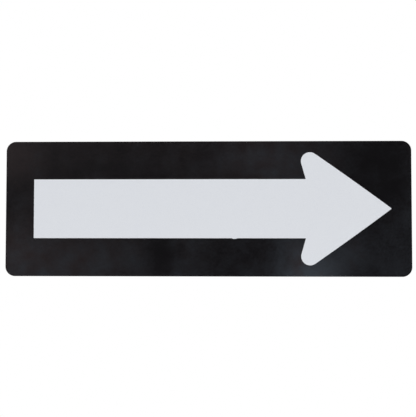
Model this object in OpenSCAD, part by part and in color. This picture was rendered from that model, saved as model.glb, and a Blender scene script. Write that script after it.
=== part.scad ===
// Road sign board: a black plastic sheet with rounded corners, and a white
// arrow cut from reflective film that is stuck to its face.
//
// Millimetres. The sign stands upright and faces -Y, with the arrow pointing
// to +X. The origin is the middle of the back face, where the sign is fixed.

/* [Board] */
// Width of the board
board_w = 914.4; // [600:0.1:1500]
// Height of the board
board_h = 304.8; // [270:0.1:600]
// Thickness of the plastic sheet
board_t = 3; // [1.6:0.1:8]
// Radius of the board's four corners
corner_r = 22; // [6:0.5:60]
// Radius of the eased edge, at the face and at the back
edge_r = 0.6; // [0.2:0.05:0.75]

/* [Arrow film] */
// Thickness of the reflective film
film_t = 0.2; // [0.1:0.05:0.6]
// Distance from the board's left edge to the square end of the shaft
tail_margin = 64; // [30:0.5:150]
// Distance from the arrow's point to the board's right edge
tip_margin = 43; // [20:0.5:120]
// Width of the shaft
shaft_w = 133; // [60:0.5:170]
// Width of the head, across the ends of its two barbs
head_w = 254; // [210:0.5:290]
// Length of the head, from the point to the back of the barbs
head_l = 204; // [120:0.5:300]
// Radius of the rounded end of each barb
barb_r = 20; // [8:0.5:30]
// Angle between the back of a barb and the upright
barb_sweep = 16; // [0:0.5:30]

/* [Hidden] */
$fn = 96;

// The sheet inside the corner circles, which the edge strips are added to
core_w = board_w - 2 * corner_r;
core_h = board_h - 2 * corner_r;

// The arrow, measured along X from the board's middle, with its axis at height 0
tail_x = -board_w / 2 + tail_margin;
tip_x = board_w / 2 - tip_margin;
barb_x = tip_x - head_l + barb_r;
barb_y = head_w / 2 - barb_r;

// The straight edges of the head keep this far inside the barb's circle, so that they cross it
bite = 0.01;
touch_r = barb_r - bite;

// Half the angle of the point: the line that leaves the point and touches the barb's circle
tip_angle = atan2(barb_y, tip_x - barb_x) + asin(touch_r / norm([tip_x - barb_x, barb_y]));

// Where the front and the back of a barb run into its circle
front_touch = [barb_x + touch_r * sin(tip_angle), barb_y + touch_r * cos(tip_angle)];
back_touch = [barb_x - touch_r * cos(barb_sweep), barb_y - touch_r * sin(barb_sweep)];

// Where the back of a barb meets the shaft
root_x = back_touch.x + (back_touch.y - shaft_w / 2) * tan(barb_sweep);

// The same point below the arrow's axis
function lower(point) = [point.x, -point.y];

// Turns what is drawn flat, face up, so that it stands and faces -Y
module upright() {
    rotate([90, 0, 0]) children();
}

// The outer strip of the sheet in section, with both arrises rounded
module edge_section() {
    square([corner_r - edge_r, board_t]);
    translate([0, edge_r]) square([corner_r, board_t - 2 * edge_r]);
    for (rise = [edge_r, board_t - edge_r])
        translate([corner_r - edge_r, rise]) circle(r = edge_r);
}

// A straight strip of that section, centred, with its rounded edge towards +Y
module edge_strip(length) {
    rotate([90, 0, 90])
        linear_extrude(height = length, center = true) edge_section();
}

// A quarter turn of that section
module corner() {
    rotate_extrude(angle = 90) edge_section();
}

module board() {
    color("#1f1d1e")
        upright() {
            translate([-core_w / 2, -core_h / 2, 0]) cube([core_w, core_h, board_t]);
            for (turn = [0, 180]) rotate(turn) {
                translate([0, core_h / 2, 0]) edge_strip(core_w);
                translate([core_w / 2, 0, 0]) rotate(-90) edge_strip(core_h);
                translate([core_w / 2, core_h / 2, 0]) corner();
                translate([-core_w / 2, core_h / 2, 0]) rotate(90) corner();
            }
        }
}

// The arrow's outline: a square-ended shaft and a pointed head with two rounded barbs
module arrow() {
    polygon([
        [tail_x, -shaft_w / 2], [root_x, -shaft_w / 2], lower(back_touch), lower(front_touch),
        [tip_x, 0], front_touch, back_touch, [root_x, shaft_w / 2], [tail_x, shaft_w / 2]
    ]);
    for (side = [-1, 1]) translate([barb_x, side * barb_y]) circle(r = barb_r);
}

module arrow_film() {
    color("#d9dce1")
        upright()
            translate([0, 0, board_t])
                linear_extrude(height = film_t) arrow();
}

board();
arrow_film();
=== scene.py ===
import math
import bpy
from mathutils import Matrix, Quaternion, Vector


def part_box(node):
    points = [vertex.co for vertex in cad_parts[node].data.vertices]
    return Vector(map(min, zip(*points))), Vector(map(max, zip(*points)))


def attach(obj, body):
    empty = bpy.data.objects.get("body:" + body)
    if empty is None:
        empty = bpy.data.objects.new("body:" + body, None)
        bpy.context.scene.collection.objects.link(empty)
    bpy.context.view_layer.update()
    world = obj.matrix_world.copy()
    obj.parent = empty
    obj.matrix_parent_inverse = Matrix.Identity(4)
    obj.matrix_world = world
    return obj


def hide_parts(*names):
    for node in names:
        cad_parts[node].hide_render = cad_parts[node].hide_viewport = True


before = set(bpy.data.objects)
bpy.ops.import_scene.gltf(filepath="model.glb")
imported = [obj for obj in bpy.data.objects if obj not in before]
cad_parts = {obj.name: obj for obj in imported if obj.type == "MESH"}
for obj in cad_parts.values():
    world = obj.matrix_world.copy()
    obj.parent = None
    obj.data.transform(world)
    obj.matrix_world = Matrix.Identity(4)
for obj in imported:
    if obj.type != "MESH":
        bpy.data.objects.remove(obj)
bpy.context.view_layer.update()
mm = 0.001
weld = 0.001 * mm                  # points closer than this are one point
upright = (math.pi / 2, 0, 0)      # stands up what is drawn lying face up
boardLow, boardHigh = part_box("board")
filmLow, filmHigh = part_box("arrow_film")
print("frame loaded:", ", ".join(sorted(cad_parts)))


# sRGB hex to the linear colour that sockets take
def toLinear(hexColour):
    channels = [int(hexColour[i:i + 2], 16) / 255 for i in (1, 3, 5)]
    return tuple(c / 12.92 if c <= 0.04045 else ((c + 0.055) / 1.055) ** 2.4 for c in channels) + (1,)


# Adds a node, sets its properties, fills its inputs and links what is a socket
def addNode(tree, kind, inputs=None, **settings):
    node = tree.nodes.new(kind)
    for name, value in settings.items():
        setattr(node, name, value)
    for key, value in (inputs or {}).items():
        if isinstance(value, bpy.types.NodeSocket):
            tree.links.new(value, node.inputs[key])
        else:
            node.inputs[key].default_value = value
    return node


# An empty Geometry Nodes tree with a geometry in and out, and one named input for each size
def newShapeTree(name, sizes):
    tree = bpy.data.node_groups.new(name, "GeometryNodeTree")
    tree.interface.new_socket("Geometry", in_out="INPUT", socket_type="NodeSocketGeometry")
    tree.interface.new_socket("Geometry", in_out="OUTPUT", socket_type="NodeSocketGeometry")
    for label, value in sizes.items():
        kind = "NodeSocketInt" if isinstance(value, int) else "NodeSocketFloat"
        tree.interface.new_socket(label, in_out="INPUT", socket_type=kind)
    return tree, addNode(tree, "NodeGroupInput").outputs


# Runs a tree on a start mesh and leaves a plain mesh object at the origin
def growPiece(name, startMesh, tree, sizes):
    seed = bpy.data.objects.new(name + "Seed", startMesh)
    bpy.context.scene.collection.objects.link(seed)
    modifier = seed.modifiers.new(name, "NODES")
    modifier.node_group = tree
    for item in tree.interface.items_tree:
        if item.item_type == "SOCKET" and item.in_out == "INPUT" and item.name in sizes:
            modifier[item.identifier] = sizes[item.name]
    graph = bpy.context.evaluated_depsgraph_get()
    mesh = bpy.data.meshes.new_from_object(seed.evaluated_get(graph))
    bpy.data.objects.remove(seed)
    bpy.data.meshes.remove(startMesh)
    mesh.name = name
    piece = bpy.data.objects.new(name, mesh)
    bpy.context.scene.collection.objects.link(piece)
    return piece


# A material with only its shader and output, and the piece's own coordinates
def newMaterial(name):
    material = bpy.data.materials.new(name)
    material.use_nodes = True
    tree = material.node_tree
    tree.nodes.clear()
    here = addNode(tree, "ShaderNodeTexCoord").outputs["Object"]
    return material, tree, here


# Black polyethylene sheet, pressed between polished plates: a deep satin black, a touch
# purple, under a faint uneven painted sheen, a painted reflection of the room, which is warm
# towards the upper left corner and cool towards the lower right one
sheetLook = {
    "black": "#070509",
    "warmPaintedSheen": "#33292a",
    "coolPaintedSheen": "#31363d",
    "sheenCoolLean": (0.9, 0, -2.0),    # how fast the painted sheen cools, for each metre across and up
    "ior": 1.51,
    "roughness": (0.28, 0.34),
    "cloudSize": 160 * mm,
    "cloudNoise": {"Detail": 2.0, "Roughness": 0.45},
    "smearSize": 45 * mm,
    "smearNoise": {"Detail": 5.0, "Roughness": 0.62},
    "smearContrast": 2.4,      # how sharply the smears part warm painted sheen from cool
    "paintedSheenShare": 0.30,         # how much painted sheen the clouds and smears leave all over
    "peelSheenShare": 0.32,        # and how much more painted sheen the high spots of the peel hold
    "peelSize": 4.2 * mm,      # real orange peel is near 1 mm, drawn coarse enough to show
    "peelNoise": {"Detail": 1.0},
    "peelDepth": 0.015 * mm,
    # Painted reflections, where the face has more painted sheen, or less: x and z of the middle, reach
    # across and up, strength
    "paintedSheenPatches": [
        (-465 * mm, 130 * mm, 130 * mm, 95 * mm, 0.24),
        (-460 * mm, -95 * mm, 130 * mm, 110 * mm, 0.20),
        (-320 * mm, -125 * mm, 250 * mm, 120 * mm, 0.27),
        (-440 * mm, 30 * mm, 110 * mm, 60 * mm, -0.10),
        (-290 * mm, 80 * mm, 170 * mm, 60 * mm, -0.08),
        (-105 * mm, -100 * mm, 70 * mm, 100 * mm, -0.20),
        (65 * mm, -90 * mm, 140 * mm, 90 * mm, -0.08),
        (150 * mm, 110 * mm, 180 * mm, 105 * mm, 0.25),
        (200 * mm, -85 * mm, 55 * mm, 50 * mm, 0.32),
        (228 * mm, -155 * mm, 105 * mm, 90 * mm, 0.90),
        (312 * mm, -100 * mm, 75 * mm, 75 * mm, 0.18),
        (380 * mm, 85 * mm, 130 * mm, 140 * mm, -0.20),
        (440 * mm, -130 * mm, 80 * mm, 80 * mm, 0.08),
    ],
}


def makeSheetMaterial(look):
    material, tree, here = newMaterial("satinBlackWithPaintedSheen")
    cloud, smear, peel = (addNode(tree, "ShaderNodeTexNoise", {
        "Vector": here, "Scale": 1 / look[name + "Size"], **look[name + "Noise"]})
        for name in ("cloud", "smear", "peel"))
    place = addNode(tree, "ShaderNodeSeparateXYZ", {"Vector": here})

    # The painted sheen patches have soft, uneven outlines, because the smears push them about
    pushed = addNode(tree, "ShaderNodeVectorMath", {
        0: smear.outputs["Color"], 1: (look["smearSize"],) * 3, 2: here}, operation="MULTIPLY_ADD")
    gatheredSheen = None
    for x, z, across, up, strength in look["paintedSheenPatches"]:
        middle = (x + look["smearSize"] / 2, 0, z + look["smearSize"] / 2)
        away = addNode(tree, "ShaderNodeVectorMath", {
            0: pushed.outputs["Vector"], 1: middle}, operation="SUBTRACT")
        away = addNode(tree, "ShaderNodeVectorMath", {
            0: away.outputs["Vector"], 1: (1 / across, 0, 1 / up)}, operation="MULTIPLY")
        away = addNode(tree, "ShaderNodeVectorMath", {0: away.outputs["Vector"]}, operation="LENGTH")
        sheenPatch = addNode(tree, "ShaderNodeMapRange", {
            "Value": away.outputs["Value"], "To Min": strength, "To Max": 0.0},
            interpolation_type="SMOOTHSTEP").outputs["Result"]
        if gatheredSheen:
            sheenPatch = addNode(tree, "ShaderNodeMath", {0: gatheredSheen, 1: sheenPatch}, operation="ADD").outputs[0]
        gatheredSheen = sheenPatch
    # Only the front half of the sheet's thickness has the painted sheen patches
    onFace = addNode(tree, "ShaderNodeMath", {
        0: place.outputs["Y"], 1: boardLow.y / 2}, operation="LESS_THAN")
    sheenShare = addNode(tree, "ShaderNodeMath", {
        0: gatheredSheen, 1: onFace.outputs[0], 2: -(look["paintedSheenShare"] + look["peelSheenShare"]) / 2},
        operation="MULTIPLY_ADD")
    spread = ((cloud, look["paintedSheenShare"]), (smear, look["paintedSheenShare"]), (peel, look["peelSheenShare"]))
    for pattern, part in spread:
        sheenShare = addNode(tree, "ShaderNodeMath", {
            0: pattern.outputs["Fac"], 1: part, 2: sheenShare.outputs[0]}, operation="MULTIPLY_ADD")

    # The contrast spreads the smears about their middle value, and the lean moves them all, so that the
    # painted sheen cools towards the lower right
    keepMiddle = 0.5 - look["smearContrast"] / 2
    sheenLean = addNode(tree, "ShaderNodeVectorMath", {0: here, 1: look["sheenCoolLean"]}, operation="DOT_PRODUCT")
    sheenLean = addNode(tree, "ShaderNodeMath", {
        0: sheenLean.outputs["Value"], 1: keepMiddle}, operation="ADD")
    sheenCoolness = addNode(tree, "ShaderNodeMath", {
        0: smear.outputs["Fac"], 1: look["smearContrast"], 2: sheenLean.outputs[0]},
        operation="MULTIPLY_ADD", use_clamp=True)
    # The painted sheen: a painted reflection of the room, warm or cool, laid over the black by its share
    paintedSheen = addNode(tree, "ShaderNodeMix", {
        "Factor": sheenCoolness.outputs[0], "A": toLinear(look["warmPaintedSheen"]), "B": toLinear(look["coolPaintedSheen"])},
        data_type="RGBA")
    colour = addNode(tree, "ShaderNodeMix", {
        "Factor": sheenShare.outputs[0], "A": toLinear(look["black"]), "B": paintedSheen.outputs["Result"]},
        data_type="RGBA")
    gloss = addNode(tree, "ShaderNodeMapRange", {
        "Value": smear.outputs["Fac"],
        "To Min": look["roughness"][0], "To Max": look["roughness"][1]})
    bump = addNode(tree, "ShaderNodeBump", {
        "Height": peel.outputs["Fac"], "Strength": 1.0, "Distance": look["peelDepth"]})
    shader = addNode(tree, "ShaderNodeBsdfPrincipled", {
        "Base Color": colour.outputs["Result"], "Roughness": gloss.outputs["Result"],
        "IOR": look["ior"], "Normal": bump.outputs["Normal"]})
    addNode(tree, "ShaderNodeOutputMaterial", {"Surface": shader.outputs["BSDF"]})
    return material


# The same sheet where the router cut it: duller, a little greyer, with marks across the edge
edgeLook = {
    "black": "#1c1a1b",
    "dust": "#343235",
    "ior": 1.51,
    "roughness": 0.55,
    "markSpacing": 2.4 * mm,   # real router marks are near 0.4 mm apart
    "markDepth": 0.03 * mm,
}


def makeEdgeMaterial(look):
    material, tree, here = newMaterial("routedBlackPolyethylene")
    marks = addNode(tree, "ShaderNodeTexNoise", {"Vector": here, "Scale": 1 / look["markSpacing"]})
    colour = addNode(tree, "ShaderNodeMix", {
        "Factor": marks.outputs["Fac"], "A": toLinear(look["black"]), "B": toLinear(look["dust"])},
        data_type="RGBA")
    bump = addNode(tree, "ShaderNodeBump", {
        "Height": marks.outputs["Fac"], "Strength": 1.0, "Distance": look["markDepth"]})
    shader = addNode(tree, "ShaderNodeBsdfPrincipled", {
        "Base Color": colour.outputs["Result"], "Roughness": look["roughness"],
        "IOR": look["ior"], "Normal": bump.outputs["Normal"]})
    addNode(tree, "ShaderNodeOutputMaterial", {"Surface": shader.outputs["BSDF"]})
    return material


# White reflective sheeting: a cool, chalky white from glass beads under a clear top film
filmLook = {
    "white": "#d9dce1",
    "shade": "#d3d6dc",
    "ior": 1.49,
    "roughness": 0.42,
    "beadSize": 1.6 * mm,      # real beads are near 0.07 mm, drawn coarse enough to show
    "beadDepth": 0.01 * mm,
}


def makeFilmMaterial(look):
    material, tree, here = newMaterial("beadedWhiteSheeting")
    beads = addNode(tree, "ShaderNodeTexVoronoi", {"Vector": here, "Scale": 1 / look["beadSize"]})
    colour = addNode(tree, "ShaderNodeMix", {
        "Factor": beads.outputs["Distance"], "A": toLinear(look["white"]), "B": toLinear(look["shade"])},
        data_type="RGBA")
    bump = addNode(tree, "ShaderNodeBump", {
        "Height": beads.outputs["Distance"], "Strength": 1.0, "Distance": look["beadDepth"]}, invert=True)
    shader = addNode(tree, "ShaderNodeBsdfPrincipled", {
        "Base Color": colour.outputs["Result"], "Roughness": look["roughness"],
        "IOR": look["ior"], "Normal": bump.outputs["Normal"]})
    addNode(tree, "ShaderNodeOutputMaterial", {"Surface": shader.outputs["BSDF"]})
    return material


sheetMaterial = makeSheetMaterial(sheetLook)
edgeMaterial = makeEdgeMaterial(edgeLook)
filmMaterial = makeFilmMaterial(filmLook)
print("materials made")


# The board: a filleted rectangle, with the section of its eased edge swept round it
board = {
    "Width": boardHigh.x - boardLow.x,
    "Height": boardHigh.z - boardLow.z,
    "Thickness": boardHigh.y - boardLow.y,
    "Corner Radius": 22 * mm,
    "Edge Radius": 0.6 * mm,
    "Corner Steps": 32,
    "Edge Steps": 5,
}


# The edge in section before it is eased: out from the face, along the side and in again at the back
def edgeSection(sizes):
    out, back = sizes["Edge Radius"], sizes["Thickness"]
    mesh = bpy.data.meshes.new("edgeSection")
    mesh.from_pydata([(0, 0, 0), (out, 0, 0), (out, back, 0), (0, back, 0)], [(0, 1), (1, 2), (2, 3)], [])
    return mesh


def buildBoardTree(sizes):
    tree, size = newShapeTree("roundedBoard", sizes)
    section = addNode(tree, "GeometryNodeMeshToCurve", {"Mesh": size["Geometry"]})
    section = addNode(tree, "GeometryNodeFilletCurve", {
        "Curve": section.outputs["Curve"], "Count": size["Edge Steps"],
        "Radius": size["Edge Radius"]}, mode="POLY")

    # The sweep runs along the line where the flat face ends and the eased edge begins
    width, height = (addNode(tree, "ShaderNodeMath", {
        0: size["Edge Radius"], 1: -2.0, 2: size[side]}, operation="MULTIPLY_ADD").outputs[0]
        for side in ("Width", "Height"))
    radius = addNode(tree, "ShaderNodeMath", {
        0: size["Corner Radius"], 1: size["Edge Radius"]}, operation="SUBTRACT")
    rim = addNode(tree, "GeometryNodeCurvePrimitiveQuadrilateral", {"Width": width, "Height": height})
    rim = addNode(tree, "GeometryNodeFilletCurve", {
        "Curve": rim.outputs["Curve"], "Count": size["Corner Steps"],
        "Radius": radius.outputs[0]}, mode="POLY")
    rim = addNode(tree, "GeometryNodeSetCurveNormal", {"Curve": rim.outputs["Curve"]}, mode="Z_UP")
    edge = addNode(tree, "GeometryNodeCurveToMesh", {
        "Curve": rim.outputs["Curve"], "Profile Curve": section.outputs["Curve"]})

    face = addNode(tree, "GeometryNodeFillCurve", {"Curve": rim.outputs["Curve"]}, mode="NGONS")
    behind = addNode(tree, "ShaderNodeMath", {0: size["Thickness"], 1: -1.0}, operation="MULTIPLY")
    shift = addNode(tree, "ShaderNodeCombineXYZ", {"Z": behind.outputs[0]})
    back = addNode(tree, "GeometryNodeTransform", {
        "Geometry": face.outputs["Mesh"], "Translation": shift.outputs["Vector"]})
    back = addNode(tree, "GeometryNodeFlipFaces", {"Mesh": back.outputs["Geometry"]})
    whole = addNode(tree, "GeometryNodeJoinGeometry")
    for part in (edge, face, back):
        tree.links.new(part.outputs["Mesh"], whole.inputs["Geometry"])
    welded = addNode(tree, "GeometryNodeMergeByDistance", {
        "Geometry": whole.outputs["Geometry"], "Distance": weld})
    shift = addNode(tree, "ShaderNodeCombineXYZ", {"Y": behind.outputs[0]})
    stood = addNode(tree, "GeometryNodeTransform", {
        "Geometry": welded.outputs["Geometry"], "Rotation": upright,
        "Translation": shift.outputs["Vector"]})
    real = addNode(tree, "GeometryNodeRealizeInstances", {"Geometry": stood.outputs["Geometry"]})

    # The router's finish goes all over first, and then the pressed finish on what looks
    # straight ahead or back
    straight = 0.9999
    normal = addNode(tree, "GeometryNodeInputNormal").outputs["Normal"]
    facing = addNode(tree, "ShaderNodeVectorMath", {0: normal, 1: (0, 1, 0)}, operation="DOT_PRODUCT")
    facing = addNode(tree, "ShaderNodeMath", {0: facing.outputs["Value"]}, operation="ABSOLUTE")
    flat = addNode(tree, "ShaderNodeMath", {0: facing.outputs[0], 1: straight}, operation="GREATER_THAN")
    routed = addNode(tree, "GeometryNodeSetMaterial", {
        "Geometry": real.outputs["Geometry"], "Material": edgeMaterial})
    pressed = addNode(tree, "GeometryNodeSetMaterial", {
        "Geometry": routed.outputs["Geometry"], "Selection": flat.outputs[0], "Material": sheetMaterial})
    addNode(tree, "NodeGroupOutput", {"Geometry": pressed.outputs["Geometry"]})
    return tree


boardPiece = growPiece("boardSheet", edgeSection(board), buildBoardTree(board), board)
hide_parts("board")
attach(boardPiece, "root")
print("board grown:", len(boardPiece.data.polygons), "faces")


# The arrow: an outline of cuts whose corners are filleted, each by its own radius, and whose
# two long cuts bulge a little
arrow = {
    "tail": filmLow.x,
    "tip": filmHigh.x - 1.5 * mm,    # where the two long cuts would meet: the knife left it short
    "shaftWidth": 133 * mm,
    "headWidth": 254 * mm,
    "headLength": 202.5 * mm,
    "barbRadius": 20 * mm,
    "barbSweep": math.radians(16),
    "bulge": 0.8 * mm,          # how far each long cut of the head stands out in its middle
    "bentShare": 0.9,           # how much of the cut's length is bent for it
    "cutRadius": 0.4 * mm,      # what the knife leaves in a sharp corner
    "tipRadius": 1.8 * mm,      # the point is blunter, where the knife turned on it
    "tabX": 61 * mm,            # a small tab of film left standing on the shaft's lower edge
    "tabFoot": 12 * mm,
    "tabCrest": 7.2 * mm,
    "tabDepth": 1.4 * mm,
    "film": {
        "Thickness": filmHigh.y - filmLow.y,
        "Seat": boardLow.y,
        "Corner Steps": 24,
    },
}


# The straight cut from a point to the outer side of a barb's circle: which way, and how far
def cutToBarb(point, centre, radius):
    reach = centre - point
    turn = math.asin(radius / reach.length)
    return Matrix.Rotation(-turn, 2) @ reach.normalized(), reach.length * math.cos(turn)


# Half of the outline's corners, from the tail round to the point, above the arrow's axis
def arrowCorners(sizes):
    radius, sweep, half = sizes["barbRadius"], sizes["barbSweep"], sizes["shaftWidth"] / 2
    centre = Vector((sizes["tip"] - sizes["headLength"] + radius, sizes["headWidth"] / 2 - radius))
    square = Vector((math.cos(sweep), math.sin(sweep)))    # square to the barb's back cut
    back = centre - radius * square
    root = Vector((back.x + (back.y - half) * math.tan(sweep), half))
    # The long cut bends as if round a blunt knee half way along it
    tip = Vector((sizes["tip"], 0))
    along, length = cutToBarb(tip, centre, radius)
    rise = 2 * sizes["bulge"]
    knee = tip + along * length / 2 + Vector((along.y, -along.x)) * rise
    kneeRadius = sizes["bentShare"] * (length / 2) ** 2 / rise
    # Where the front and back cuts of the barb would meet if it weren't rounded
    along, _ = cutToBarb(knee, centre, radius)
    corner = knee - along * square.dot(knee - back) / square.dot(along)
    sharp = sizes["cutRadius"]
    return [(Vector((sizes["tail"], half)), sharp), (root, sharp), (corner, radius), (knee, kneeRadius)]


def arrowOutline(sizes):
    upper = arrowCorners(sizes)
    lower = [(Vector((point.x, -point.y)), radius) for point, radius in upper]
    # The tab is a low trapezium, whose corners are as round as it is deep
    foot, crest, depth = sizes["tabFoot"] / 2, sizes["tabCrest"] / 2, sizes["tabDepth"]
    edge = -sizes["shaftWidth"] / 2
    tab = [(-foot, edge), (-crest, edge - depth), (crest, edge - depth), (foot, edge)]
    tab = [(Vector((sizes["tabX"] + x, y)), depth) for x, y in tab]
    point = [(Vector((sizes["tip"], 0)), sizes["tipRadius"])]
    corners = lower[:1] + tab + lower[1:] + point + upper[::-1]
    mesh = bpy.data.meshes.new("arrowOutline")
    count = len(corners)
    edges = [(i, (i + 1) % count) for i in range(count)]
    mesh.from_pydata([place.to_3d() for place, _ in corners], edges, [])
    radii = mesh.attributes.new("cornerRadius", "FLOAT", "POINT")
    radii.data.foreach_set("value", [radius for _, radius in corners])
    return mesh


def buildFilmTree(sizes):
    tree, size = newShapeTree("cutFilm", sizes)
    path = addNode(tree, "GeometryNodeMeshToCurve", {"Mesh": size["Geometry"]})
    radius = addNode(tree, "GeometryNodeInputNamedAttribute", {"Name": "cornerRadius"}, data_type="FLOAT")
    path = addNode(tree, "GeometryNodeFilletCurve", {
        "Curve": path.outputs["Curve"], "Count": size["Corner Steps"],
        "Radius": radius.outputs["Attribute"]}, mode="POLY")
    back = addNode(tree, "GeometryNodeFillCurve", {"Curve": path.outputs["Curve"]}, mode="NGONS")
    face = addNode(tree, "GeometryNodeExtrudeMesh", {
        "Mesh": back.outputs["Mesh"], "Offset Scale": size["Thickness"], "Individual": False}, mode="FACES")
    back = addNode(tree, "GeometryNodeFlipFaces", {"Mesh": back.outputs["Mesh"]})
    whole = addNode(tree, "GeometryNodeJoinGeometry")
    for part in (face, back):
        tree.links.new(part.outputs["Mesh"], whole.inputs["Geometry"])
    welded = addNode(tree, "GeometryNodeMergeByDistance", {
        "Geometry": whole.outputs["Geometry"], "Distance": weld})
    shift = addNode(tree, "ShaderNodeCombineXYZ", {"Y": size["Seat"]})
    stood = addNode(tree, "GeometryNodeTransform", {
        "Geometry": welded.outputs["Geometry"], "Rotation": upright,
        "Translation": shift.outputs["Vector"]})
    real = addNode(tree, "GeometryNodeRealizeInstances", {"Geometry": stood.outputs["Geometry"]})
    done = addNode(tree, "GeometryNodeSetMaterial", {
        "Geometry": real.outputs["Geometry"], "Material": filmMaterial})
    addNode(tree, "NodeGroupOutput", {"Geometry": done.outputs["Geometry"]})
    return tree


arrowPiece = growPiece("arrowSheeting", arrowOutline(arrow), buildFilmTree(arrow["film"]), arrow["film"])
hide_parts("arrow_film")
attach(arrowPiece, "root")
print("arrow grown:", len(arrowPiece.data.polygons), "faces")


# The room is white to the camera and to what reflects or shows through, and soft grey light otherwise
room = {"white": 1.0, "light": 0.645}


def addRoomLight(tree, sizes):
    ray = addNode(tree, "ShaderNodeLightPath").outputs
    seen = addNode(tree, "ShaderNodeMath", {
        0: ray["Is Camera Ray"], 1: ray["Is Glossy Ray"]}, operation="MAXIMUM")
    seen = addNode(tree, "ShaderNodeMath", {
        0: seen.outputs[0], 1: ray["Is Transmission Ray"]}, operation="MAXIMUM")
    return addNode(tree, "ShaderNodeMapRange", {
        "Value": seen.outputs[0], "To Min": sizes["light"], "To Max": sizes["white"]}).outputs["Result"]


def buildRoom(sizes):
    world = bpy.data.worlds.new("studioRoom")
    world.use_nodes = True
    tree = world.node_tree
    tree.nodes.clear()
    sky = addNode(tree, "ShaderNodeBackground", {
        "Color": (1, 1, 1, 1), "Strength": addRoomLight(tree, sizes)})
    addNode(tree, "ShaderNodeOutputWorld", {"Surface": sky.outputs["Background"]})
    bpy.context.scene.world = world


buildRoom(room)

# A pale round floor well below the sign, which blends into the room's white before its rim
floor = {
    "height": -0.68,
    "radius": 0.95,
    "blendFrom": 0.55,
    "sides": 96,
    "colour": "#e2e2e2",
}


def buildFloor(sizes):
    material, tree, here = newMaterial("matteFloorPaint")
    away = addNode(tree, "ShaderNodeVectorMath", {0: here}, operation="LENGTH")
    blend = addNode(tree, "ShaderNodeMapRange", {
        "Value": away.outputs["Value"], "From Min": sizes["blendFrom"], "From Max": sizes["radius"]},
        interpolation_type="SMOOTHSTEP")
    paint = addNode(tree, "ShaderNodeBsdfDiffuse", {"Color": toLinear(sizes["colour"])})
    glow = addNode(tree, "ShaderNodeEmission", {"Strength": addRoomLight(tree, room)})
    mix = addNode(tree, "ShaderNodeMixShader", {
        0: blend.outputs["Result"], 1: paint.outputs["BSDF"], 2: glow.outputs["Emission"]})
    addNode(tree, "ShaderNodeOutputMaterial", {"Surface": mix.outputs["Shader"]})
    bpy.ops.mesh.primitive_circle_add(
        vertices=sizes["sides"], radius=sizes["radius"], fill_type="NGON", location=(0, 0, sizes["height"]))
    disc = bpy.context.object
    disc.name = "studioFloor"
    disc.data.materials.append(material)
    return disc


buildFloor(floor)

# Soft lamps far off, so that the light is even over the whole sign: where each stands
# as azimuth and elevation in degrees, its strength and how wide it looks
lamps = {
    "keyLamp": (-42, 32, 1.15, 40),
    "fillLamp": (48, 12, 0.75, 50),
    "rearLamp": (155, 35, 1.7, 50),
}
lampDistance = 3    # they light alike from anywhere, so this only keeps them clear of the sign


def towards(azimuth, elevation):
    a, e = math.radians(azimuth), math.radians(elevation)
    return Vector((math.sin(a) * math.cos(e), -math.cos(a) * math.cos(e), math.sin(e)))


for name, (azimuth, elevation, strength, width) in lamps.items():
    lamp = bpy.data.lights.new(name, "SUN")
    lamp.energy = strength
    lamp.angle = math.radians(width)
    holder = bpy.data.objects.new(name, lamp)
    holder.location = lampDistance * towards(azimuth, elevation)
    holder.rotation_euler = towards(azimuth, elevation).to_track_quat("Z", "Y").to_euler()
    bpy.context.scene.collection.objects.link(holder)

# Dark cards before and behind the sign, which only reflections see, so that the black stays deep.
# Their glow is painted light: lighter on the left, as if the key lamp spilled on them
cards = {"distance": 3.2, "size": 14.0, "light": 0.04, "dark": 0.01, "reach": 1.1}


def buildCard(name, y, sizes):
    material, tree, here = newMaterial(name + "Cloth")
    across = addNode(tree, "ShaderNodeSeparateXYZ", {"Vector": here})
    # Painted lamp spill: the card's glow fades from light on the left to dark on the right
    glow = addNode(tree, "ShaderNodeMapRange", {
        "Value": across.outputs["X"], "From Min": -sizes["reach"], "From Max": sizes["reach"],
        "To Min": sizes["light"], "To Max": sizes["dark"]}, interpolation_type="SMOOTHSTEP")
    cloth = addNode(tree, "ShaderNodeEmission", {"Strength": glow.outputs["Result"]})
    addNode(tree, "ShaderNodeOutputMaterial", {"Surface": cloth.outputs["Emission"]})
    bpy.ops.mesh.primitive_plane_add(size=sizes["size"], location=(0, y, 0), rotation=upright)
    card = bpy.context.object
    card.name = name
    card.data.materials.append(material)
    card.visible_camera = False
    card.visible_diffuse = False
    card.visible_transmission = False
    card.visible_shadow = False
    return card


buildCard("frontCard", -cards["distance"], cards)
buildCard("rearCard", cards["distance"], cards)
print("floor, lamps, cards and room set")

# The camera stands nearly square to the sign, a little to its right and below it, and leans
# by a hair
shot = {
    "lens": 70,
    "sensorWidth": 36,
    "azimuth": 1.7,
    "elevation": -2.35,
    "roll": 0.05,
    "distance": 1.829,
    "aim": Vector((1.2 * mm, 0, 0.5 * mm)),
}
camera = bpy.data.objects.new("camera", bpy.data.cameras.new("camera"))
camera.data.lens = shot["lens"]
camera.data.sensor_width = shot["sensorWidth"]
camera.location = shot["aim"] + shot["distance"] * towards(shot["azimuth"], shot["elevation"])
turned = towards(shot["azimuth"], shot["elevation"]).to_track_quat("Z", "Y")
turned = turned @ Quaternion((0, 0, 1), math.radians(shot["roll"]))
camera.rotation_euler = turned.to_euler()
bpy.context.scene.collection.objects.link(camera)
bpy.context.scene.camera = camera
bpy.context.scene.view_settings.view_transform = "Standard"
print("camera set")
